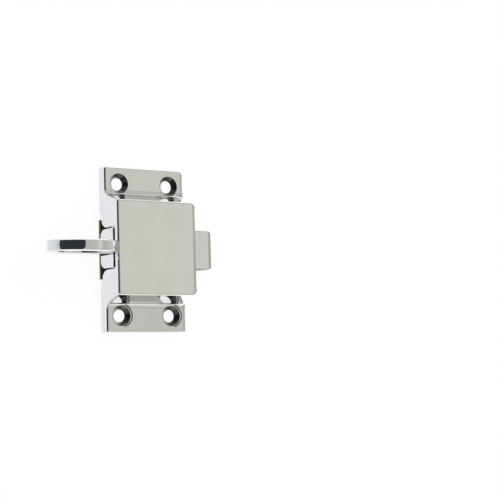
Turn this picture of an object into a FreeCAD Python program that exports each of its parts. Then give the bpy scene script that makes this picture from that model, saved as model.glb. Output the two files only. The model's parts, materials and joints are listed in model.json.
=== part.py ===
import FreeCAD, Part
import math
import os

# Transom catch with a sprung bolt and a pull ring, lying on its mounting face.
# X is the bolt's way of travel, with the nose at +X and the ring at -X.
# Y runs from flange to flange, and Z stands out of the mounting face, which is Z = 0.
# The origin is the middle of the mounting face. All lengths are millimetres.

Vec = FreeCAD.Vector
os.makedirs("parts", exist_ok=True)

# Case, one chromed casting: a square box on two screw flanges
case_length = 38.1  # along X, the same for box and flanges
case_height = 69.85  # over both flanges
box_height = 39.7  # the raised box at its front
box_depth = 15.9
wall_slope = 18.0  # degrees, the lean of the box's upper and lower walls
flange_thickness = 5.0
fillet_radius = 3.3  # hollow corner between flange and box
profile_edge = 1.1  # rounding round the box's front
flange_edge = 0.5  # rounding along the flanges' outer edges
end_edge = 0.9  # rounding of the left end face
box_nose_corner = 2.5  # plan rounding of the box on the bolt's side
flange_upper_corner = 2.0  # plan rounding of the upper flange on the bolt's side
flange_lower_corner = 0.8
end_wall = 2.3
side_wall = 2.3
front_wall = 2.35
cavity_corner = 1.0
flange_skin = 2.5
flange_rim = 2.0
flange_hollow_gap = 0.3  # along Y, from the box's height to the hollow behind a flange

# Screw holes, countersunk from the front
hole_diameter = 5.4
countersink_diameter = 8.8
countersink_angle = 82.0
hole_from_end = 6.94  # from each end face
hole_from_edge = 6.88  # from each flange's outer edge

# Left end opening for the bolt's tail
notch_width = 17.9
notch_depth = 13.45  # from the mounting face to the front wall
notch_flare = 5.0  # rounding at its mounting side
notch_relief = 2.5  # along Y, where the rear edge falls back to the mounting face
opening_corner = 0.4  # in the front corners of both end openings

# Bolt, one chromed casting that slides along X
bolt_width = 16.7
bolt_back = 1.35  # its rear face above the mounting face
bolt_front = 12.6
bolt_side_gap = 0.15
bolt_front_gap = 0.15
bolt_projection = 9.5
bolt_travel = 9.5
tail_proud = 0.5
bolt_back_corner = 4.0  # rounding of its two rear edges
bolt_front_corner = 0.4
tail_corner = 0.4  # plan rounding
tail_edge = 0.3
nose_corner = 1.8
nose_tip_thickness = 4.2
nose_bevel_length = 8.4
nose_bevel_root = 2.0  # rounding where the bevel starts
nose_rear_edge = 0.8
nose_front_edge = 0.5

# Ring, its neck and its pin
ring_diameter = 29.5
ring_wall = 3.3  # radially
ring_band = 4.8  # along Y
ring_edge = 0.4  # flat broken along each of its edges
ring_to_pin = 5.45  # from the outside of the ring to the pin
ring_lean = 2.8  # degrees, the slack that lets its far side lean to -Y
neck_width = 5.2
neck_flare = 2.0
eye_radius = 3.0
pin_diameter = 2.5
pin_inset = 3.0  # from the end of the tail
pin_height = 6.5  # above the mounting face
pin_length = 16.2
pin_chamfer = 0.3
pin_press_gap = 0.02
eye_slack = 0.2  # radial play of the ring on its pin
slot_side_gap = 0.4
slot_end_gap = 0.5

# Back plate, sheet brass that closes the case and holds the spring
plate_thickness = 1.2
plate_gap = 0.15
seat_gap = 0.05
left_tongue_width = 25.2
left_tongue_proud = 0.45  # beyond the case's left end
tab_width = 5.2
tab_height = 8.4  # above the mounting face
tab_face = -7.0  # X of the tab's stop face
tab_bend = 1.2
tab_corner = 0.4
window_gap = 0.2  # beside the tab, where it was bent out of the plate

# Return spring in the bolt's pocket
spring_diameter = 6.0
spring_wire = 0.8
spring_wire_flats = 6  # sides of the wire's section
spring_coils = 7
spring_lift = 0.5  # above the bolt's rear face
spring_end_gap = 0.05
pocket_right = 13.0
pocket_width = 6.8
pocket_corner = 0.5
pocket_depth = 9.0  # Z of the pocket's floor
stop_gap = 0.15

# Guide ribs, pads and screw bosses inside the case
rib_thickness = 1.8
pad_length = 2.5
boss_radius = 3.3
plate_screw_diameter = 2.4
plate_screw_length = 8.0
plate_screw_head = 4.6
plate_screw_head_depth = 1.1
screw_thread_gap = 0.05
screw_slot_width = 0.7
screw_slot_depth = 0.5

# Places worked out from the sizes above
left = -case_length / 2
right = case_length / 2
inner_left = left + end_wall
inner_right = right - end_wall
cavity_half = box_height / 2 - side_wall
cavity_top = box_depth - front_wall
guide_half = bolt_width / 2 + bolt_side_gap
guide_top = bolt_front + bolt_front_gap
tail_end = left - tail_proud
nose_end = right + bolt_projection
pin_x = tail_end + pin_inset
slot_half = ring_band / 2 + slot_side_gap
slot_end = pin_x + eye_radius + slot_end_gap
pocket_left = tab_face - stop_gap
ring_radius = ring_diameter / 2
ring_reach = ring_radius + ring_to_pin
lean = math.radians(ring_lean)
ring_centre_z = ring_radius + ring_band / 2 * math.sin(lean)
ring_centre_x = pin_x - math.sqrt(ring_reach ** 2 - (ring_centre_z - pin_height) ** 2)
boss_y = (guide_half + rib_thickness + cavity_half) / 2
plate_half = cavity_half - plate_gap
spring_z = bolt_back + spring_lift + spring_diameter / 2


def box(x0, x1, y0, y1, z0, z1):
    return Part.makeBox(x1 - x0, y1 - y0, z1 - z0, Vec(x0, y0, z0))


def rod(radius, start, direction, length):
    return Part.makeCylinder(radius, length, start, direction)


def union(shapes):
    return shapes[0].fuse(shapes[1:]).removeSplitter()


def arc(a, mid, b):
    return Part.Arc(a, mid, b).toShape()


def line(a, b):
    return Part.LineSegment(a, b).toShape()


def rounded_outline(corners, radii, plane):
    """Closed wire through corners given as (a, b), each rounded by its own radius.

    plane turns a pair of numbers into a point.
    """
    count = len(corners)
    entries = []
    for i in range(count):
        here = corners[i]
        before = corners[i - 1]
        after = corners[(i + 1) % count]
        entries.append(corner_points(before, here, after, radii[i]))
    edges = []
    for i in range(count):
        start, mid, end = entries[i]
        if radii[i] > 0:
            edges.append(arc(plane(*start), plane(*mid), plane(*end)))
        following = entries[(i + 1) % count][0]
        if math.dist(end, following) > 1e-6:
            edges.append(line(plane(*end), plane(*following)))
    return Part.Wire(edges)


def corner_points(before, here, after, radius):
    """Start, middle and end of the arc that rounds the corner at here."""
    to_before = unit(here, before)
    to_after = unit(here, after)
    if radius <= 0:
        return here, here, here
    cosine = to_before[0] * to_after[0] + to_before[1] * to_after[1]
    half = math.acos(cosine) / 2
    run = radius / math.tan(half)
    middle = (to_before[0] + to_after[0], to_before[1] + to_after[1])
    size = math.hypot(*middle)
    reach = radius / math.sin(half) - radius
    start = (here[0] + to_before[0] * run, here[1] + to_before[1] * run)
    end = (here[0] + to_after[0] * run, here[1] + to_after[1] * run)
    mid = (here[0] + middle[0] / size * reach, here[1] + middle[1] / size * reach)
    return start, mid, end


def unit(a, b):
    length = math.dist(a, b)
    return (b[0] - a[0]) / length, (b[1] - a[1]) / length


def prism_x(corners, radii, x0, x1):
    """Outline given in (Y, Z), extruded along X."""
    wire = rounded_outline(corners, radii, lambda y, z: Vec(x0, y, z))
    return Part.Face(wire).extrude(Vec(x1 - x0, 0, 0))


def prism_z(corners, radii, z0, z1):
    """Outline given in (X, Y), extruded along Z."""
    wire = rounded_outline(corners, radii, lambda x, y: Vec(x, y, z0))
    return Part.Face(wire).extrude(Vec(0, 0, z1 - z0))


def prism_y(corners, radii, y0, y1):
    """Outline given in (X, Z), extruded along Y."""
    wire = rounded_outline(corners, radii, lambda x, z: Vec(x, y0, z))
    return Part.Face(wire).extrude(Vec(0, y1 - y0, 0))


def round_edges(shape, radius, chosen):
    edges = [edge for edge in shape.Edges if chosen(edge)]
    return shape.makeFillet(radius, edges)


def on_plane(axis, value):
    """Picks the edges that lie wholly at one value of X or Y."""
    def lies_there(edge):
        low = getattr(edge.BoundBox, axis + "Min")
        high = getattr(edge.BoundBox, axis + "Max")
        return abs(low - value) < 1e-4 and abs(high - value) < 1e-4
    return lies_there


def half_width(z):
    """Half the box's height at one depth, on its sloping wall."""
    return box_height / 2 + (box_depth - z) * math.tan(math.radians(wall_slope))


def hat_profile_body():
    """The case's outer section, a box with sloping walls between two flanges, extruded along X."""
    half = case_height / 2
    wall = half_width(box_depth)
    foot = half_width(flange_thickness)
    corners = [
        (-half, 0), (-half, flange_thickness), (-foot, flange_thickness), (-wall, box_depth),
        (wall, box_depth), (foot, flange_thickness), (half, flange_thickness), (half, 0),
    ]
    radii = [0, 0, fillet_radius, profile_edge, profile_edge, fillet_radius, 0, 0]
    return prism_x(corners, radii, left, right)


def box_corner_cut(side):
    """What rounds the box's corner on the bolt's side: a block less the wall's section, turned."""
    axis_x = right - box_nose_corner
    axis_y = side * (half_width(box_depth) - box_nose_corner)
    foot = box_nose_corner + half_width(flange_thickness) - half_width(box_depth)
    reach = foot + fillet_radius
    section = rounded_outline(
        [(0, 0), (reach, 0), (reach, flange_thickness), (foot, flange_thickness),
         (box_nose_corner, box_depth), (0, box_depth)],
        [0, 0, 0, fillet_radius, profile_edge, 0], lambda r, z: Vec(axis_x, axis_y + side * r, z))
    turned = Part.Face(section).revolve(Vec(axis_x, axis_y, 0), Vec(0, 0, 1), -side * 90)
    ys = sorted((axis_y, axis_y + side * reach))
    block = box(axis_x, right + 1, ys[0], ys[1], flange_thickness, box_depth + 1)
    return block.cut(turned)


def front_edge_cut():
    """What rounds the box's straight front edge on the bolt's side."""
    half = half_width(box_depth) - box_nose_corner
    x = right - profile_edge
    z = box_depth - profile_edge
    block = box(x, right + 1, -half, half, z, box_depth + 1)
    return block.cut(rod(profile_edge, Vec(x, -half, z), Vec(0, 1, 0), 2 * half))


def flange_corner_cut(side, radius):
    """What rounds a flange's corner on the bolt's side, seen from the front."""
    x = right - radius
    y = side * (case_height / 2 - radius)
    ys = sorted((y, side * case_height))
    block = box(x, right + 1, ys[0], ys[1], -1, flange_thickness + 1)
    return block.cut(rod(radius, Vec(x, y, -1), Vec(0, 0, 1), flange_thickness + 2))


def case_outside():
    """The extruded section with its left end, its flanges and its corners rounded."""
    body = hat_profile_body()
    at_left = on_plane("X", left)
    body = round_edges(body, end_edge, lambda edge: at_left(edge) and edge.BoundBox.ZMin > flange_thickness - 0.01)
    for side in (-1, 1):
        at_side = on_plane("Y", side * case_height / 2)
        body = round_edges(body, flange_edge, lambda edge: at_side(edge) and outer_edge(edge))
    cuts = [flange_corner_cut(1, flange_upper_corner), flange_corner_cut(-1, flange_lower_corner)]
    return body.cut(cuts + [box_corner_cut(1), box_corner_cut(-1), front_edge_cut()])


def outer_edge(edge):
    """Leaves out a flange's rear edge and its edge on the bolt's side."""
    room = edge.BoundBox
    return room.ZMax > 0.01 and room.XMin < right - 0.01


def screw_places():
    x = case_length / 2 - hole_from_end
    y = case_height / 2 - hole_from_edge
    return [(sx * x, sy * y) for sx in (-1, 1) for sy in (-1, 1)]


def countersunk_hole(x, y):
    depth = (countersink_diameter - hole_diameter) / 2 / math.tan(math.radians(countersink_angle / 2))
    over = 0.5
    grow = over * math.tan(math.radians(countersink_angle / 2))
    cone = Part.makeCone(
        hole_diameter / 2, countersink_diameter / 2 + grow, depth + over,
        Vec(x, y, flange_thickness - depth), Vec(0, 0, 1))
    drill = rod(hole_diameter / 2, Vec(x, y, -1), Vec(0, 0, 1), flange_thickness + 2)
    return cone.fuse(drill)


def notch_cutter():
    """Left opening: straight sides, rounded towards the plate's seat and eased back beyond it."""
    side = notch_width / 2
    level = plate_thickness + seat_gap
    wide = side + notch_flare
    upper = prism_x(
        [(-side, level - 1), (-side, notch_depth), (side, notch_depth), (side, level - 1)],
        [0, opening_corner, opening_corner, 0], left - 1, inner_left + 0.1)
    flare = box(left - 1, inner_left + 0.1, -wide, wide, level - 1, level + notch_flare)
    shoulders = [
        rod(notch_flare, Vec(left - 1, s * wide, level + notch_flare), Vec(1, 0, 0), end_wall + 1.1)
        for s in (-1, 1)
    ]
    flare = flare.cut(shoulders)
    end = wide + notch_relief
    relief = prism_x(
        [(-end, -1), (-end, 0), (-wide, level), (wide, level), (end, 0), (end, -1)],
        [0] * 6, left - 1, inner_left + 0.1)
    return union([upper, flare, relief])


def make_case():
    body = case_outside()
    cavity = prism_z(
        [(inner_left, -cavity_half), (inner_right, -cavity_half),
         (inner_right, cavity_half), (inner_left, cavity_half)],
        [cavity_corner] * 4, -1, cavity_top)
    inner = []
    for s in (-1, 1):
        y0 = s * guide_half
        y1 = s * (guide_half + rib_thickness)
        level = plate_thickness + seat_gap
        rib = box(inner_left - 0.5, inner_right + 0.5, min(y0, y1), max(y0, y1), level, cavity_top + 0.5)
        boss = rod(boss_radius, Vec(0, s * boss_y, level), Vec(0, 0, 1), cavity_top + 0.5 - level)
        tapped = rod(
            plate_screw_diameter / 2 + screw_thread_gap, Vec(0, s * boss_y, 0), Vec(0, 0, 1),
            plate_screw_length + 0.5)
        inner.append(rib.fuse(boss).cut(tapped))
    for x0 in (inner_left, inner_right - pad_length):
        inner.append(box(x0, x0 + pad_length, -guide_half, guide_half, guide_top, cavity_top + 0.5))
    body = body.cut(cavity)
    pocket_outer = case_height / 2 - flange_rim
    pocket_inner = box_height / 2 + flange_hollow_gap
    for s in (-1, 1):
        ys = sorted((s * pocket_inner, s * pocket_outer))
        pocket = prism_z(
            [(left + flange_rim, ys[0]), (right - flange_rim, ys[0]),
             (right - flange_rim, ys[1]), (left + flange_rim, ys[1])],
            [cavity_corner] * 4, -1, flange_thickness - flange_skin)
        body = body.cut(pocket)
    room = box(left + 0.5, right - 0.5, -box_height / 2 + 1, box_height / 2 - 1, 0, box_depth - 1)
    body = union([body] + [piece.common(room) for piece in inner])
    bolt_way = prism_x(
        [(-guide_half, -1), (-guide_half, guide_top), (guide_half, guide_top), (guide_half, -1)],
        [0, opening_corner, opening_corner, 0], inner_right - 0.1, right + 1)
    body = body.cut([notch_cutter(), bolt_way] + [countersunk_hole(x, y) for x, y in screw_places()])
    return body.removeSplitter()


def make_bolt():
    """A bar with two rounded rear edges, bevelled behind the nose so that it cams over the strike."""
    half = bolt_width / 2
    section = prism_x(
        [(-half, bolt_back), (-half, bolt_front), (half, bolt_front), (half, bolt_back)],
        [bolt_back_corner, bolt_front_corner, bolt_front_corner, bolt_back_corner],
        tail_end, nose_end)
    plan = prism_z(
        [(tail_end, -half), (nose_end, -half), (nose_end, half), (tail_end, half)],
        [tail_corner, nose_corner, nose_corner, tail_corner], bolt_back - 1, bolt_front + 1)
    tip = bolt_front - nose_tip_thickness
    side = prism_y(
        [(tail_end, bolt_back), (nose_end - nose_bevel_length, bolt_back), (nose_end, tip),
         (nose_end, bolt_front), (tail_end, bolt_front)],
        [tail_edge, nose_bevel_root, nose_rear_edge, nose_front_edge, tail_edge], -half - 1, half + 1)
    bolt = section.common(plan).common(side)
    slot = box(tail_end - 1, slot_end, -slot_half, slot_half, bolt_back - 1, bolt_front + 1)
    pocket = prism_z(
        [(pocket_left, -pocket_width / 2), (pocket_right, -pocket_width / 2),
         (pocket_right, pocket_width / 2), (pocket_left, pocket_width / 2)],
        [pocket_corner] * 4, bolt_back - 1, pocket_depth)
    pin_hole = rod(
        pin_diameter / 2 + pin_press_gap, Vec(pin_x, -half - 1, pin_height), Vec(0, 1, 0), bolt_width + 2)
    return bolt.cut([slot, pocket, pin_hole]).removeSplitter()


def make_ring_pin():
    """Headless pin, chamfered at both ends and pressed through the tail."""
    half = pin_length / 2
    radius = pin_diameter / 2
    profile = [
        (0, -half), (radius - pin_chamfer, -half), (radius, -half + pin_chamfer),
        (radius, half - pin_chamfer), (radius - pin_chamfer, half), (0, half),
    ]
    wire = rounded_outline(profile, [0] * 6, lambda r, y: Vec(pin_x + r, y, pin_height))
    return Part.Face(wire).revolve(Vec(pin_x, 0, pin_height), Vec(0, 1, 0), 360)


def make_pull_ring():
    """A flat-banded ring with a flared neck and an eye, leaning a little on its pin."""
    inner = ring_radius - ring_wall
    half = ring_band / 2
    e = ring_edge
    corners = [
        (inner + e, -half), (ring_radius - e, -half), (ring_radius, e - half), (ring_radius, half - e),
        (ring_radius - e, half), (inner + e, half), (inner, half - e), (inner, e - half),
    ]
    section = rounded_outline(corners, [0] * 8, lambda r, y: Vec(r, y, 0))
    ring = Part.Face(section).revolve(Vec(0, 0, 0), Vec(0, 1, 0), 360)
    neck = neck_solid()
    hole = rod(pin_diameter / 2 + eye_slack, Vec(ring_reach, -half - 1, 0), Vec(0, 1, 0), ring_band + 2)
    part = union([ring, neck]).cut(hole)
    rise = math.degrees(math.atan2(ring_centre_z - pin_height, pin_x - ring_centre_x))
    part.rotate(Vec(0, 0, 0), Vec(0, 1, 0), rise)
    part.translate(Vec(ring_centre_x, 0, ring_centre_z))
    part.rotate(Vec(pin_x, 0, pin_height), Vec(1, 0, 0), ring_lean)
    return part


def neck_solid():
    """The neck and eye, drawn with the ring's centre at the origin and the pin at +X."""
    w = neck_width / 2
    q = neck_flare
    root = ring_radius - ring_wall / 2
    along = math.sqrt((ring_radius + q) ** 2 - (w + q) ** 2)
    turn = math.atan2(w + q, along)
    touch = (ring_radius * math.cos(turn), ring_radius * math.sin(turn))
    swing = (math.pi / 2 - turn) / 2
    mid_angle = math.pi + turn + swing
    mid = (along + q * math.cos(mid_angle), w + q + q * math.sin(mid_angle))
    base = (root * math.cos(turn), root * math.sin(turn))
    join = ring_reach - math.sqrt(eye_radius ** 2 - w ** 2)
    half = ring_band / 2

    def point(x, z, sign=1):
        return Vec(x, -half, sign * z)

    edges = [
        line(point(*base), point(*touch)),
        arc(point(*touch), point(*mid), point(along, w)),
        line(point(along, w), point(join, w)),
        arc(point(join, w), point(ring_reach + eye_radius, 0), point(join, w, -1)),
        line(point(join, w, -1), point(along, w, -1)),
        arc(point(along, w, -1), point(*mid, -1), point(*touch, -1)),
        line(point(*touch, -1), point(*base, -1)),
        line(point(*base, -1), point(*base)),
    ]
    neck = Part.Face(Part.Wire(edges)).extrude(Vec(0, ring_band, 0))
    faces = (on_plane("Y", -half), on_plane("Y", half))
    broken = [edge for edge in neck.Edges if any(lies(edge) for lies in faces) and edge.BoundBox.XMax > along]
    return neck.makeChamfer(ring_edge, broken)


def make_back_plate():
    """Sheet brass that fits the cavity, with a tongue through each end wall and a lanced tab."""
    body = prism_z(
        [(inner_left + plate_gap, -plate_half), (inner_right - plate_gap, -plate_half),
         (inner_right - plate_gap, plate_half), (inner_left + plate_gap, plate_half)],
        [cavity_corner] * 4, 0, plate_thickness)
    half = left_tongue_width / 2
    left_tongue = box(left - left_tongue_proud, inner_left + 1, -half, half, 0, plate_thickness)
    right_tongue = box(inner_right - 1, right, -guide_half + plate_gap, guide_half - plate_gap, 0, plate_thickness)
    tab_side = tab_width / 2
    window_end = tab_face - (tab_height - plate_thickness)
    window_half = tab_side + window_gap
    window = box(window_end, tab_face, -window_half, window_half, -1, plate_thickness + 1)
    tab = prism_y(
        [(tab_face, 0), (tab_face, tab_height), (tab_face + tab_bend, tab_height), (tab_face + tab_bend, 0)],
        [0, tab_corner, tab_corner, 0], -tab_side, tab_side)
    plate = union([body, left_tongue, right_tongue]).cut(window)
    plate = union([plate, tab])
    holes = [screw_clearance(s * boss_y) for s in (-1, 1)]
    return plate.cut(holes)


def screw_clearance(y):
    """Countersunk hole for a plate screw, open to the mounting side."""
    gap = screw_thread_gap
    head = plate_screw_head / 2 + gap
    shank = plate_screw_diameter / 2 + gap
    cone = Part.makeCone(head, shank, plate_screw_head_depth, Vec(0, y, 0), Vec(0, 0, 1))
    return cone.fuse(rod(shank, Vec(0, y, -1), Vec(0, 0, 1), plate_thickness + 2))


def make_plate_screw(side):
    """Slotted countersunk screw, its head flush with the mounting face."""
    y = side * boss_y
    head = Part.makeCone(
        plate_screw_head / 2, plate_screw_diameter / 2, plate_screw_head_depth, Vec(0, y, 0), Vec(0, 0, 1))
    shank = rod(plate_screw_diameter / 2, Vec(0, y, 0), Vec(0, 0, 1), plate_screw_length)
    w = screw_slot_width / 2
    slot = box(-plate_screw_head, plate_screw_head, y - w, y + w, -1, screw_slot_depth)
    return head.fuse(shank).removeSplitter().cut(slot)


def make_bolt_spring():
    """Coil spring between the plate's tab and the end of the bolt's pocket."""
    start = tab_face + tab_bend + spring_wire / 2 + spring_end_gap
    end = pocket_right - spring_wire / 2 - spring_end_gap
    pitch = (end - start) / spring_coils
    radius = (spring_diameter - spring_wire) / 2
    helix = Part.makeHelix(pitch, end - start, radius)
    corners = []
    for i in range(spring_wire_flats + 1):
        turn = 2 * math.pi * (i + 0.5) / spring_wire_flats
        corners.append(Vec(radius + spring_wire / 2 * math.cos(turn), 0, spring_wire / 2 * math.sin(turn)))
    wire = Part.makePolygon(corners)
    coil = Part.Wire(helix).makePipeShell([wire], True, True)
    coil.rotate(Vec(0, 0, 0), Vec(0, 1, 0), 90)
    coil.translate(Vec(start, 0, spring_z))
    return coil


nodes = {
    "case": make_case(),
    "bolt": make_bolt(),
    "ring_pin": make_ring_pin(),
    "pull_ring": make_pull_ring(),
    "back_plate": make_back_plate(),
    "bolt_spring": make_bolt_spring(),
    "plate_screw_upper": make_plate_screw(1),
    "plate_screw_lower": make_plate_screw(-1),
}

for name, shape in nodes.items():
    shape.exportStep("parts/" + name + ".step")
    room = shape.BoundBox
    print(
        name, "valid", shape.isValid(), "solids", len(shape.Solids), "volume", round(shape.Volume, 1),
        "X", round(room.XMin, 3), round(room.XMax, 3), "Y", round(room.YMin, 3), round(room.YMax, 3),
        "Z", round(room.ZMin, 3), round(room.ZMax, 3))
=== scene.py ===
import json
import math
import bmesh
import bpy
import numpy as np
from mathutils import Matrix, Vector


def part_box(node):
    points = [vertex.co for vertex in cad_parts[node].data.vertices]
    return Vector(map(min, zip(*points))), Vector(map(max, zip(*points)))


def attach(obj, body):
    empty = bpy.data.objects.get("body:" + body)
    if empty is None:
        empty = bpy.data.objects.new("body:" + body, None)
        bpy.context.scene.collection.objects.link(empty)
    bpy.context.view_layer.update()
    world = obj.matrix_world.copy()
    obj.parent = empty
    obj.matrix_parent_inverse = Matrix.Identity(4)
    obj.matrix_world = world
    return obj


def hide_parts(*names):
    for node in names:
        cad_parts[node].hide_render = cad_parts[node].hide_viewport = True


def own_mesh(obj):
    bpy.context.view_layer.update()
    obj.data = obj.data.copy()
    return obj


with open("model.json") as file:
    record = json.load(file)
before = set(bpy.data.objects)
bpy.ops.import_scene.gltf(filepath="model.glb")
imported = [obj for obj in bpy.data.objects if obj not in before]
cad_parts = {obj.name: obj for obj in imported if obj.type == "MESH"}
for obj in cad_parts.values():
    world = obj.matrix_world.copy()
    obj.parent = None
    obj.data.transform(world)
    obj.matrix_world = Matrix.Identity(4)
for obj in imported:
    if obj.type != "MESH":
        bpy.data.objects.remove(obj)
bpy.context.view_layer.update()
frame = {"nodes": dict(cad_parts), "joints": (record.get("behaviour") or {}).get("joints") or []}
mm = 0.001
print("transom catch: frame loaded")


# A socket that takes part in sums, so that shader maths reads as arithmetic.
class Field:
    def __init__(self, tree, socket):
        self.tree = tree
        self.socket = socket

    def math(self, operation, other=0.0, swap=False):
        node = self.tree.nodes.new("ShaderNodeMath")
        node.operation = operation
        pair = [other, self] if swap else [self, other]
        for slot, value in zip(node.inputs, pair):
            if isinstance(value, Field):
                self.tree.links.new(value.socket, slot)
            else:
                slot.default_value = value
        return Field(self.tree, node.outputs[0])

    def __add__(self, other):
        return self.math("ADD", other)

    def __radd__(self, other):
        return self.math("ADD", other, True)

    def __sub__(self, other):
        return self.math("SUBTRACT", other)

    def __rsub__(self, other):
        return self.math("SUBTRACT", other, True)

    def __mul__(self, other):
        return self.math("MULTIPLY", other)

    def __truediv__(self, other):
        return self.math("DIVIDE", other)

    def __pow__(self, other):
        return self.math("POWER", other)

    def __abs__(self):
        return self.math("ABSOLUTE")

    def most(self, other):
        return self.math("MAXIMUM", other)


# Where a material's nodes are laid out.
class Bench:
    def __init__(self, tree):
        self.tree = tree
        tree.nodes.clear()

    # Makes a node, sets it, then gives its sockets values or links. A socket's blanks are underscores.
    def add(self, kind, settings=None, **values):
        node = self.tree.nodes.new(kind)
        for name, value in (settings or {}).items():
            if name == "stops":
                self.setStops(node.color_ramp, value)
            else:
                setattr(node, name, value)
        for name, value in values.items():
            self.plug(self.find(node, name), value)
        return node

    def find(self, node, name):
        if name.startswith("in") and name[2:].isdigit():
            return node.inputs[int(name[2:])]
        return node.inputs[name.replace("_", " ")]

    def plug(self, slot, value):
        if isinstance(value, Field):
            self.tree.links.new(value.socket, slot)
        else:
            slot.default_value = value

    def setStops(self, ramp, stops):
        while len(ramp.elements) < len(stops):
            ramp.elements.new(1.0)
        for element, (place, grey) in zip(ramp.elements, stops):
            element.position = place
            element.color = (grey, grey, grey, 1.0)

    def field(self, node, output=0):
        return Field(self.tree, node.outputs[output])

    def noise(self, where, scale, detail=2.0, rough=0.5):
        node = self.add("ShaderNodeTexNoise", Vector=where, Scale=scale, Detail=detail, Roughness=rough)
        return self.field(node, 0)

    # Nought below low, one above high and a smooth rise between them.
    def step(self, value, low, high):
        node = self.add("ShaderNodeMapRange", {"interpolation_type": "SMOOTHSTEP"},
                        Value=value, From_Min=low, From_Max=high)
        return self.field(node, 0)

    def mixColour(self, share, first, second):
        node = self.add("ShaderNodeMix", {"data_type": "RGBA"})
        self.plug(node.inputs[0], share)
        self.plug(node.inputs[6], first)
        self.plug(node.inputs[7], second)
        return self.field(node, 2)

    # A colour times one share.
    def dimmed(self, colour, share):
        node = self.add("ShaderNodeVectorMath", {"operation": "SCALE"}, in0=colour)
        self.plug(node.inputs[3], share)
        return self.field(node)

    def bump(self, height, strength, distance):
        node = self.add("ShaderNodeBump", Height=height, Strength=strength, Distance=distance)
        return self.field(node, 0)

    # Object coordinates, whole and split into x, y and z.
    def place(self):
        where = self.field(self.add("ShaderNodeTexCoord"), 3)
        parts = self.add("ShaderNodeSeparateXYZ", Vector=where)
        return where, self.field(parts, 0), self.field(parts, 1), self.field(parts, 2)

    def stretched(self, where, scale):
        node = self.add("ShaderNodeMapping", Vector=where, Scale=scale)
        return self.field(node, 0)


def newMaterial(name):
    material = bpy.data.materials.new(name)
    material.use_nodes = True
    return material, Bench(material.node_tree)


def surface(bench, **values):
    shader = bench.add("ShaderNodeBsdfPrincipled", None, **values)
    output = bench.add("ShaderNodeOutputMaterial")
    bench.tree.links.new(shader.outputs[0], output.inputs[0])


chromeLook = {
    "bright": (0.81, 0.81, 0.81, 1.0),
    "cloudy": (0.78, 0.78, 0.78, 1.0),
    "cloudScale": 95.0,
    "buffScale": (120.0, 2600.0, 2600.0),  # fine lines along X
    "speckScale": 2600.0,
    "waveScale": 130.0,
    "gloss": 0.02,
    "haze": 0.03,
    "waviness": 0.04,
    "relief": 0.2,  # millimetres of height that count as one
    "edgeShade": 0.73,  # share of brightness left on edges painted darker as shade
}


# The chrome that all castings share: a mirror with faint clouds, buffing haze and a trace of waviness.
# It gives the colour, the roughness and the height, as a share of the relief.
def polish(b, where):
    look = chromeLook
    clouds = b.step(b.noise(where, look["cloudScale"], 3.0), 0.35, 0.7)
    buffing = b.noise(b.stretched(where, look["buffScale"]), 1.0, 3.0)
    specks = b.step(b.noise(where, look["speckScale"], 2.0), 0.66, 0.8)
    colour = b.mixColour(clouds, look["bright"], look["cloudy"])
    rough = look["gloss"] + (clouds * 0.5 + buffing * 0.35 + specks) * look["haze"]
    height = (b.noise(where, look["waveScale"], 1.0) + buffing * 0.004) * look["waviness"]
    return colour, rough, height


def chromed(b, colour, rough, height):
    normal = b.bump(height, 1.0, chromeLook["relief"] * mm)
    surface(b, Base_Color=colour, Metallic=1.0, Roughness=rough, Normal=normal)


caseLook = {
    "holeInset": (6.94, 6.88),  # millimetres in from the case's ends and sides to a screw hole
    "coneRadius": 4.45,
    "cone": (0.30, 0.30, 0.29, 1.0),
    "coneFootLit": (0.50, 0.50, 0.48, 1.0),  # the countersink's wall towards -Y, painted lighter as light falling on it
    "coneRightShade": (0.10, 0.10, 0.10, 1.0),  # its wall towards +X, painted dark as a reflection of the room's dark window
    "footTurn": (0.2, 0.8),  # how far the wall faces each way where its colour begins and holds
    "rightTurn": (0.35, 0.75),
    "coneHaze": 0.28,
    "lipRadius": 4.55,  # a painted dark ring: the shade at the edge of a second, uneven cut round the lower countersinks
    "lipShift": (0.6, 0.0),
    "lipWidth": 0.62,
    "lipFrom": (0.8, 1.8),  # along X from the hole's middle
    "lipAbove": (4.0, 4.4),
    "lipShade": 0.88,
    "hollowTop": 2.6,
    "hollowInset": (1.95, 1.92),
    "hollow": (0.42, 0.41, 0.39, 1.0),
    "hollowHaze": 0.3,
    "grainScale": 1500.0,
    "grainHaze": 0.2,
    "grainHeight": 0.6,
    "upperFlangeShade": 0.965,  # share of brightness left by the painted shade on the upper flange
    "lowerFlangeShade": 0.895,
    "flangeDepth": 10.4,
    "leftEdge": (0.1, 0.85),  # millimetres in from the left end face between which its edge is painted darker as shade
    "leftShade": 0.75,
    "shadedEnd": 1.05,  # millimetres along the nose side's edge that are painted darker as shade
    "shadedBox": 0.75,  # and how much more of it at the box
    "shadedRim": 0.47,
    "rimShadeShare": 0.5,  # how much of that painted shade the rims have
}
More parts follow.
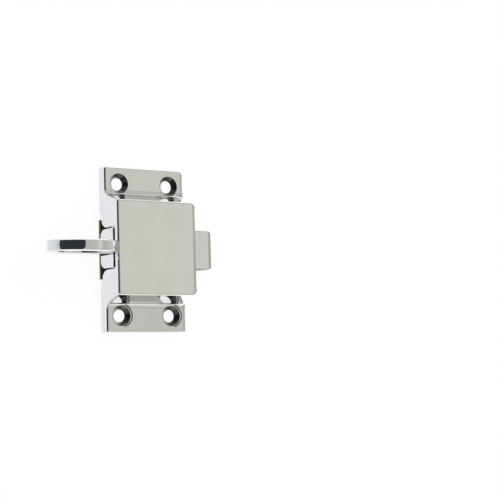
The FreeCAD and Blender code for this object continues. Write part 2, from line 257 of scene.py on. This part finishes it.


# The case: polished outside, darker and rougher in the countersinks, with painted shade on the
# countersink walls, the flanges, its left edges and its nose-side edges and rims, and left as cast
# behind.
def caseChrome():
    look = caseLook
    material, b = newMaterial("caseChrome")
    where, x, y, z = b.place()
    colour, rough, height = polish(b, where)
    low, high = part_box("case")
    insetX, insetY = look["holeInset"]
    toLowerRow = y.math("LESS_THAN", 0.0)
    alongX = x - (x.math("GREATER_THAN", 0.0) * 2 - 1) * (high.x - insetX * mm)
    alongY = y - (1 - toLowerRow * 2) * (high.y - insetY * mm)
    fromHole = (alongX * alongX + alongY * alongY) ** 0.5
    cone = 1 - b.step(fromHole, (look["coneRadius"] - 0.1) * mm, look["coneRadius"] * mm)
    rightShade = b.step(alongX / fromHole.most(0.1 * mm), *look["rightTurn"])
    footLight = b.step(alongY / fromHole.most(0.1 * mm) * -1.0, *look["footTurn"])
    # Painted shade: a dark ring standing for the edge of a second cut round the lower countersinks.
    lipX, lipY = alongX - look["lipShift"][0] * mm, alongY - look["lipShift"][1] * mm
    fromLip = abs((lipX * lipX + lipY * lipY) ** 0.5 - look["lipRadius"] * mm)
    lip = (1 - b.step(fromLip, 0.0, look["lipWidth"] * mm)) * toLowerRow
    lip = lip * b.step(alongX / mm, *look["lipFrom"]) * b.step(z / mm, *look["lipAbove"])
    hollowX, hollowY = high.x - look["hollowInset"][0] * mm, high.y - look["hollowInset"][1] * mm
    hollow = 1 - b.step(z, (look["hollowTop"] - 0.05) * mm, look["hollowTop"] * mm)
    hollow = hollow * (1 - b.step(abs(x), hollowX, hollowX + 0.1 * mm))
    hollow = hollow * (1 - b.step(abs(y), hollowY, hollowY + 0.1 * mm))
    grain = b.noise(where, look["grainScale"], 4.0, 0.6)
    flangeFrom = high.y - look["flangeDepth"] * mm
    upper = b.step(y, flangeFrom, flangeFrom + mm)
    lower = b.step(y * -1.0, flangeFrom, flangeFrom + mm)
    atBox = 1 - upper.most(lower)
    fromLeft = (x - low.x) / mm
    offEnd, offEdge = (b.step(fromLeft, place - 0.05, place + 0.05) for place in look["leftEdge"])
    # Painted shade along the nose side's edges, reaching further at the box, and partly along the rims.
    edgeShade = b.step(x + atBox * (look["shadedBox"] * mm),
                  high.x - look["shadedEnd"] * mm, high.x - (look["shadedEnd"] - 0.25) * mm)
    rim = b.step(abs(y), high.y - look["shadedRim"] * mm, high.y - (look["shadedRim"] - 0.2) * mm)
    rim = rim * look["rimShadeShare"]
    # Painted shade: the flanges are darker than the box, except on their left end faces.
    left = 1 - upper * offEnd * (1 - look["upperFlangeShade"])
    left = left * (1 - lower * offEnd * (1 - look["lowerFlangeShade"]))
    # Painted shade darkens the rounding along the left end's edge.
    left = left * (1 - offEnd * (1 - offEdge) * (1 - look["leftShade"]))
    left = left * (1 - edgeShade.most(rim) * (1 - chromeLook["edgeShade"])) * (1 - lip * look["lipShade"])
    colour = b.dimmed(colour, left)
    # The countersinks are darker and rougher. Their walls also carry painted light and shade: lighter
    # towards -Y, darker towards +X.
    wall = b.mixColour(footLight, look["cone"], look["coneFootLit"])
    wall = b.mixColour(rightShade, wall, look["coneRightShade"])
    colour = b.mixColour(cone, colour, wall)
    colour = b.mixColour(hollow, colour, look["hollow"])
    rough = rough + cone * look["coneHaze"] + hollow * (look["hollowHaze"] + grain * look["grainHaze"])
    chromed(b, colour, rough, height + hollow * grain * look["grainHeight"])
    return material


boltLook = {
    "shadedEnd": 1.6,  # millimetres along the nose's edges that are painted darker as shade
    "shadedRim": 0.5,
    "rimShadeShare": 0.7,
    "noseLength": 10.0,
    "moreShade": 0.93,  # share of the brightness left by the case's painted edge shade
}


# The bolt: polished, with painted shade on the edges round its nose, where it meets the strike.
def boltChrome():
    look = boltLook
    material, b = newMaterial("boltChrome")
    where, x, y, z = b.place()
    colour, rough, height = polish(b, where)
    low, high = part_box("bolt")
    end = b.step(x, high.x - look["shadedEnd"] * mm, high.x - (look["shadedEnd"] - 0.25) * mm)
    rim = b.step(abs(y), high.y - look["shadedRim"] * mm, high.y - (look["shadedRim"] - 0.2) * mm)
    rim = rim * b.step(x, high.x - look["noseLength"] * mm, high.x - (look["noseLength"] - 1) * mm)
    # Painted shade on the nose's end and side edges.
    noseShade = end.most(rim * look["rimShadeShare"])
    colour = b.dimmed(colour, 1 - noseShade * (1 - chromeLook["edgeShade"] * look["moreShade"]))
    chromed(b, colour, rough, height)
    return material


def pinChrome():
    material, b = newMaterial("pinChrome")
    where = b.place()[0]
    chromed(b, *polish(b, where))
    return material


ringLook = {
    "crown": 11.0,  # degrees, how far the band turns away at its edges
    "halfBand": 2.4,  # millimetres
    "lean": 2.8,  # degrees
    "pinHeight": 6.5,
    "neckFrom": -27.4,  # X from which the ring is rougher, where the buff reached less well, and painted darker as shade
    "neckShade": 0.72,
    "neckHaze": 0.15,
}


# The ring's band is crowned by buffing. Its height falls with the square of the way from the band's
# middle, which leans with the ring.
def ringChrome():
    look = ringLook
    material, b = newMaterial("ringChrome")
    where, x, y, z = b.place()
    colour, rough, height = polish(b, where)
    across = y + (z - look["pinHeight"] * mm) * math.tan(math.radians(look["lean"]))
    fall = math.tan(math.radians(look["crown"])) / 2 / (look["halfBand"] * mm)
    crown = across * across * -fall
    neck = b.step(x, look["neckFrom"] * mm, (look["neckFrom"] + 0.8) * mm)
    # Past the neck's start the colour is dimmed as painted shade.
    colour = b.dimmed(colour, 1 - neck * (1 - look["neckShade"]))
    surface(b, Base_Color=colour, Metallic=1.0, Roughness=rough + neck * look["neckHaze"],
            Normal=b.bump(crown + height * (chromeLook["relief"] * mm), 1.0, 1.0))
    return material


brassLook = {
    "clean": (0.50, 0.37, 0.18, 1.0),
    "tarnish": (0.20, 0.14, 0.065, 1.0),
    "end": (0.20, 0.16, 0.085, 1.0),  # the end in the left opening, painted darker as the shade there
    "endLength": (2.0, 3.5),  # millimetres in from it where its colour fades
    "patchScale": 160.0,
    "rollScale": (90.0, 4200.0, 4200.0),
    "gloss": 0.32,
}


# Unpolished sheet brass: rolling lines along X, brown tarnish in patches, and painted shade darkening
# the open end.
def rawBrass():
    look = brassLook
    material, b = newMaterial("rawBrass")
    where, x, y, z = b.place()
    low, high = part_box("back_plate")
    patches = b.step(b.noise(where, look["patchScale"], 5.0, 0.6), 0.38, 0.66)
    lines = b.noise(b.stretched(where, look["rollScale"]), 1.0, 3.0)
    openEndShade = 1 - b.step((x - low.x) / mm, *look["endLength"])
    colour = b.mixColour(patches * 0.7 + lines * 0.2, look["clean"], look["tarnish"])
    colour = b.mixColour(openEndShade, colour, look["end"])
    rough = look["gloss"] + patches * 0.2 + lines * 0.12
    surface(b, Base_Color=colour, Metallic=1.0, Roughness=rough, Normal=b.bump(lines, 0.25, 0.05 * mm))
    return material


steelLook = {
    "bright": (0.42, 0.42, 0.43, 1.0),
    "heated": (0.30, 0.31, 0.34, 1.0),
    "heatScale": 300.0,
    "drawScale": (5200.0, 900.0, 900.0),
    "gloss": 0.26,
}


# Drawn wire: fine lines and a little blue-grey heat colour.
def springSteel():
    look = steelLook
    material, b = newMaterial("springSteel")
    where = b.place()[0]
    lines = b.noise(b.stretched(where, look["drawScale"]), 1.0, 2.0)
    colour = b.mixColour(b.noise(where, look["heatScale"], 2.0), look["bright"], look["heated"])
    surface(b, Base_Color=colour, Metallic=1.0, Roughness=look["gloss"] + lines * 0.2,
            Normal=b.bump(lines, 0.2, 0.03 * mm))
    return material


def addPiece(name, mesh, material, body, node):
    mesh.polygons.foreach_set("use_smooth", np.ones(len(mesh.polygons), bool))
    mesh.materials.clear()
    mesh.materials.append(material)
    piece = bpy.data.objects.new(name, mesh)
    bpy.context.scene.collection.objects.link(piece)
    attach(piece, body)
    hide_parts(node)
    return piece


copyLook = {
    "weld": 0.002,  # millimetres between corners that are one
    "flat": 0.35,  # degrees between facets that are one face
    "sharp": 32.0,  # degrees from which an edge is broken
    "steps": 3,
    "caseEdge": 0.14,  # millimetres that each piece's sharp edges are broken by
    "boltEdge": 0.16,
    "ringEdge": 0.10,
    "pinEdge": 0.05,
    "plateEdge": 0.08,
    "screwEdge": 0.06,
}


# A CAD node's copy: its facets merged, its flat faces made whole and its sharp edges broken.
def dressedCopy(name, node, body, material, edge):
    look = copyLook
    form = bmesh.new()
    form.from_mesh(frame["nodes"][node].data)
    bmesh.ops.remove_doubles(form, verts=form.verts, dist=look["weld"] * mm)
    flat = math.radians(look["flat"])
    bmesh.ops.dissolve_limit(form, angle_limit=flat, verts=form.verts, edges=form.edges)
    mesh = bpy.data.meshes.new(name)
    form.to_mesh(mesh)
    form.free()
    piece = addPiece(name, mesh, material, body, node)
    bevel = piece.modifiers.new("edge", "BEVEL")
    bevel.width = look[edge] * mm
    bevel.segments = look["steps"]
    bevel.limit_method = "ANGLE"
    bevel.angle_limit = math.radians(look["sharp"])
    bevel.use_clamp_overlap = True
    normals = piece.modifiers.new("normals", "WEIGHTED_NORMAL")
    normals.weight = 90


sheetBrass = rawBrass()
dressedCopy("caseCasting", "case", "housing", caseChrome(), "caseEdge")
dressedCopy("boltCasting", "bolt", "latch_bolt", boltChrome(), "boltEdge")
dressedCopy("ringCasting", "pull_ring", "ring", ringChrome(), "ringEdge")
dressedCopy("hingePin", "ring_pin", "latch_bolt", pinChrome(), "pinEdge")
dressedCopy("closingPlate", "back_plate", "housing", sheetBrass, "plateEdge")
for side in ("upper", "lower"):
    dressedCopy(side + "PlateScrew", "plate_screw_" + side, "housing", sheetBrass, "screwEdge")
print("castings, pin, plate and screws dressed")


springForm = {
    "wire": 0.8,
    "coils": 7.0,
    "closedCoils": 1.0,
    "stepsPerCoil": 48,
    "stepsRound": 16,
}


# A tube round a helix along X. The centre line's x follows the turn, slowly in the closed end coils
# and evenly between them; its y and z go round a circle. The tube is that line plus a small circle
# in the plane of the radius and the axis, and both ends are closed by a fan.
def coilSpring():
    form = springForm
    low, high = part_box("bolt_spring")
    wire = form["wire"] * mm / 2
    radius = (high.z - low.z) / 2 - wire
    middleY, middleZ = (low.y + high.y) / 2, (low.z + high.z) / 2
    count = int(form["coils"] * form["stepsPerCoil"]) + 1
    turn = np.linspace(0.0, form["coils"], count)
    closed = form["closedCoils"]
    openShare = np.clip((turn - closed) / (form["coils"] - 2 * closed), 0.0, 1.0)
    closedTurns = np.minimum(turn, closed) + np.maximum(turn - (form["coils"] - closed), 0.0)
    dead = wire * 2 * closedTurns
    free = (high.x - low.x) - 2 * wire - dead[-1]
    along = low.x + wire + dead + free * openShare
    angle = turn * 2 * np.pi
    out = np.stack([np.zeros(count), np.cos(angle), np.sin(angle)], axis=1)
    axis = np.array([1.0, 0.0, 0.0])
    line = np.stack([along, middleY + radius * out[:, 1], middleZ + radius * out[:, 2]], axis=1)
    n = form["stepsRound"]
    around = np.linspace(0.0, 2 * np.pi, n, endpoint=False)
    offset = np.cos(around)[None, :, None] * out[:, None, :] + np.sin(around)[None, :, None] * axis
    points = (line[:, None, :] + wire * offset).reshape(-1, 3)
    start = np.arange(count - 1)[:, None] * n
    here = np.arange(n)[None, :]
    following = (here + 1) % n
    quads = np.stack([start + here, start + following, start + n + following, start + n + here], axis=2)
    first, last = len(points), len(points) + 1
    ring = np.arange(n)
    after = (ring + 1) % n
    end = (count - 1) * n
    startFan = np.stack([np.full(n, first), after, ring], axis=1)
    endFan = np.stack([np.full(n, last), end + ring, end + after], axis=1)
    mesh = bpy.data.meshes.new("coilSpring")
    corners = np.vstack([points, line[:1], line[-1:]])
    faces = quads.reshape(-1, 4).tolist() + startFan.tolist() + endFan.tolist()
    mesh.from_pydata(corners.tolist(), [], faces)
    mesh.update()
    spring = addPiece("coilSpring", mesh, springSteel(), "housing", "bolt_spring")
    travel = -min(next(joint["range_m"] for joint in frame["joints"] if joint["name"] == "bolt_slide"))
    keep = 1 - travel / (high.x - low.x)
    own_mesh(spring)


coilSpring()
print("spring wound")


roomLook = {
    "ceiling": (0.707, 0.715, 0.651),
    "dark": (0.034, 0.040, 0.047, 1.0),
    "fill": (0.80, 0.80, 0.80, 1.0),
    "darkMiddle": 62.5,  # degrees from overhead, towards the ring's side
    "darkReach": 45.5,
    "darkSide": 0.44,
    "darkShift": 0.10,
    # Degrees from overhead down towards the nose's side, and the grey seen there.
    "noseSide": ((0, 0.80), (18, 0.84), (28, 1.0), (37, 1.0), (43, 0.73), (56, 0.80), (68, 0.86),
                 (82, 0.92), (87, 1.12)),
    # Towards both flanges: the height of the ray, and the grey seen there.
    "flangeSides": ((0.0, 1.17), (0.2, 1.03), (0.45, 0.90), (0.64, 0.85), (0.75, 0.72), (0.84, 0.85),
                    (1.0, 1.0)),
    "aside": (0.24, 0.42),  # how far aside the flanges' sides begin and hold
    "upperLow": 0.28,  # how much darker it is low down at the upper flange's side
    "lowHeights": (0.30, 0.50),  # the heights of the ray between which that fades
    "darkSoft": 0.03,
    "brightest": 1.2,
}


# The room that the metal mirrors: a pale ceiling, a darker frame round it and a dark window behind
# the ring. Only mirrored rays meet it. The camera sees white, and all other light is an even fill.
def studioRoom():
    look = roomLook
    world = bpy.data.worlds.new("studio")
    bpy.context.scene.world = world
    world.use_nodes = True
    b = Bench(world.node_tree)
    parts = b.add("ShaderNodeSeparateXYZ", Vector=b.field(b.add("ShaderNodeTexCoord"), 0))
    x, y, z = (b.field(parts, i) for i in range(3))
    overhead = (x * -1.0).math("ARCTAN2", z) * (180 / math.pi)
    top = look["brightest"]
    noseStops = [(angle / 90, grey / top) for angle, grey in look["noseSide"]]
    nose = b.field(b.add("ShaderNodeValToRGB", {"stops": noseStops}, Fac=overhead * (-1 / 90))) * top
    sideStops = [(height, grey / top) for height, grey in look["flangeSides"]]
    sides = b.field(b.add("ShaderNodeValToRGB", {"stops": sideStops}, Fac=z)) * top
    upperLow = b.step(y, *look["aside"]) * (1 - b.step(z, *look["lowHeights"]))
    sides = sides * (1 - upperLow * look["upperLow"])
    aside = b.step(abs(y), *look["aside"])
    grey = nose * (1 - aside) + sides * aside
    along = abs((overhead - look["darkMiddle"]) / look["darkReach"]) ** 4.0
    across = abs((y - look["darkShift"]) / look["darkSide"]) ** 4.0
    dark = 1 - b.step(along + across, 1 - look["darkSoft"], 1 + look["darkSoft"])
    colour = b.mixColour(dark, b.dimmed(look["ceiling"], grey), look["dark"])
    rays = b.add("ShaderNodeLightPath")
    colour = b.mixColour(b.field(rays, 3), look["fill"], colour)
    colour = b.mixColour(b.field(rays, 0), colour, (1.0, 1.0, 1.0, 1.0))
    back = b.add("ShaderNodeBackground", None, Color=colour, Strength=1.0)
    output = b.add("ShaderNodeOutputWorld")
    b.tree.links.new(back.outputs[0], output.inputs[0])


floorLook = {
    "size": 3.0,
    "below": 0.02,  # millimetres under the mounting face
    "white": (0.9, 0.9, 0.9, 1.0),
    "mirrored": (0.965, 0.974, 1.01, 1.0),
    "underRing": (0.84, 0.875, 0.885, 1.0),
    "pastRing": (0.60, 0.64, 0.65, 1.0),
    "bright": (1.4, 1.4, 1.4, 1.0),
    # the painted shadow of the catch beside its nose, as the metal mirrors the table
    "noseSide": (0.42, 0.42, 0.41, 1.0),
    "far": (0.040, 0.046, 0.055, 1.0),
    # Millimetres from the middle where each region of the mirrored table begins and holds.
    "ringFrom": (46.0, 58.0),
    "pastRingFrom": (57.0, 124.0),
    "noseFrom": (19.0, 20.0),
    "besideFrom": (17.0, 22.0),
    "beyondFrom": (40.0, 50.0),
    "reach": 125.0,  # how far the white table shows in the metal, towards the ring's side
    "reachSoft": 2.0,
    "curl": 60.0,  # how much further its edge is at the sides
    "curlMiddle": 0.08,  # where it is nearest, aside as a share of the way
    "spread": 0.24,  # and how far aside the curl is
    "shadowShare": 0.05,
}


# The floor: white to the eye with a faint shadow. In the metal's mirror it glows with painted light and
# shade by region: a painted shadow of the catch beside its nose, greyer under and past the ring,
# brighter than white aside and dark far off.
def paleTable():
    look = floorLook
    half = look["size"] / 2
    level = -look["below"] * mm
    corners = [(-half, -half, level), (half, -half, level), (half, half, level), (-half, half, level)]
    material, b = newMaterial("table")
    where, x, y, z = b.place()
    diffuse = b.add("ShaderNodeBsdfDiffuse", None, Color=look["white"])
    white = b.add("ShaderNodeEmission", None, Color=(1.0, 1.0, 1.0, 1.0), Strength=1.0)
    away = (x * -1.0).most(mm)
    curl = abs((y / away - look["curlMiddle"]) / look["spread"]) ** 4.0 * (look["curl"] * mm)
    soft = look["reachSoft"]
    far = b.step(away - curl, (look["reach"] - soft) * mm, (look["reach"] + soft) * mm)
    begins = {key: [place * mm for place in look[key]] for key in look if key.endswith("From")}
    underRing = b.step(x * -1.0, *begins["ringFrom"])
    noseSide = b.step(x, *begins["noseFrom"])
    beside = b.step(abs(y), *begins["besideFrom"]) * noseSide
    beyond = b.step(abs(y), *begins["beyondFrom"])
    seen = b.mixColour(noseSide, look["mirrored"], look["noseSide"])
    seen = b.mixColour(underRing, seen, look["underRing"])
    seen = b.mixColour(b.step(away, *begins["pastRingFrom"]), seen, look["pastRing"])
    seen = b.mixColour(beside.most(beyond), seen, look["bright"])
    seen = b.mixColour(far, seen, look["far"])
    mirror = b.add("ShaderNodeEmission", None, Color=seen, Strength=1.0)
    rays = b.add("ShaderNodeLightPath")
    eye = b.add("ShaderNodeMixShader", None, in0=look["shadowShare"])
    b.tree.links.new(white.outputs[0], eye.inputs[1])
    b.tree.links.new(diffuse.outputs[0], eye.inputs[2])
    toMetal = b.add("ShaderNodeMixShader", None, in0=b.field(rays, 3))
    b.tree.links.new(diffuse.outputs[0], toMetal.inputs[1])
    b.tree.links.new(mirror.outputs[0], toMetal.inputs[2])
    both = b.add("ShaderNodeMixShader", None, in0=b.field(rays, 0))
    b.tree.links.new(toMetal.outputs[0], both.inputs[1])
    b.tree.links.new(eye.outputs[0], both.inputs[2])
    output = b.add("ShaderNodeOutputMaterial")
    b.tree.links.new(both.outputs[0], output.inputs[0])
    mesh = bpy.data.meshes.new("table")
    mesh.from_pydata(corners, [], [(0, 1, 2, 3)])
    mesh.materials.append(material)
    table = bpy.data.objects.new("table", mesh)
    bpy.context.scene.collection.objects.link(table)


lampLook = {
    "size": 0.6,
    "watts": 3.2,
    "place": (0.25, 0.35, 0.8),
}


# One large soft lamp for the shadow and the brass; the metal doesn't mirror it.
def softLamp():
    look = lampLook
    data = bpy.data.lights.new("softLamp", "AREA")
    data.shape = "SQUARE"
    data.size = look["size"]
    data.energy = look["watts"]
    lamp = bpy.data.objects.new("softLamp", data)
    lamp.location = look["place"]
    lamp.rotation_mode = "QUATERNION"
    lamp.rotation_quaternion = (-lamp.location).to_track_quat("-Z", "Y")
    lamp.visible_glossy = False
    bpy.context.scene.collection.objects.link(lamp)


viewPoint = {
    "place": (-316.52, -61.15, 561.19),  # millimetres from the middle of the mounting face
    "turn": 33.66,  # degrees about Y
    "dip": -5.37,
    "roll": 1.57,
    "lens": 108.0,
    "sensor": 36.0,
}


# The photograph's own view, from its fitted place and angles.
def photoCamera():
    look = viewPoint
    turn, dip, roll = (math.radians(look[key]) for key in ("turn", "dip", "roll"))
    back = Vector((-math.sin(turn) * math.cos(dip), math.sin(dip), math.cos(turn) * math.cos(dip)))
    flatRight = Vector((math.cos(turn), 0.0, math.sin(turn)))
    flatUp = back.cross(flatRight)
    right = flatRight * math.cos(roll) - flatUp * math.sin(roll)
    up = flatRight * math.sin(roll) + flatUp * math.cos(roll)
    data = bpy.data.cameras.new("photoCamera")
    data.lens = look["lens"]
    data.sensor_width = look["sensor"]
    data.clip_start = 0.01
    data.clip_end = 20.0
    camera = bpy.data.objects.new("photoCamera", data)
    axes = Matrix((right, up, back)).transposed().to_4x4()
    camera.matrix_world = Matrix.Translation(Vector(look["place"]) * mm) @ axes
    bpy.context.scene.collection.objects.link(camera)
    bpy.context.scene.camera = camera


studioRoom()
paleTable()
softLamp()
photoCamera()
bpy.context.scene.view_settings.view_transform = "Standard"
print("room, table, lamp and camera set")
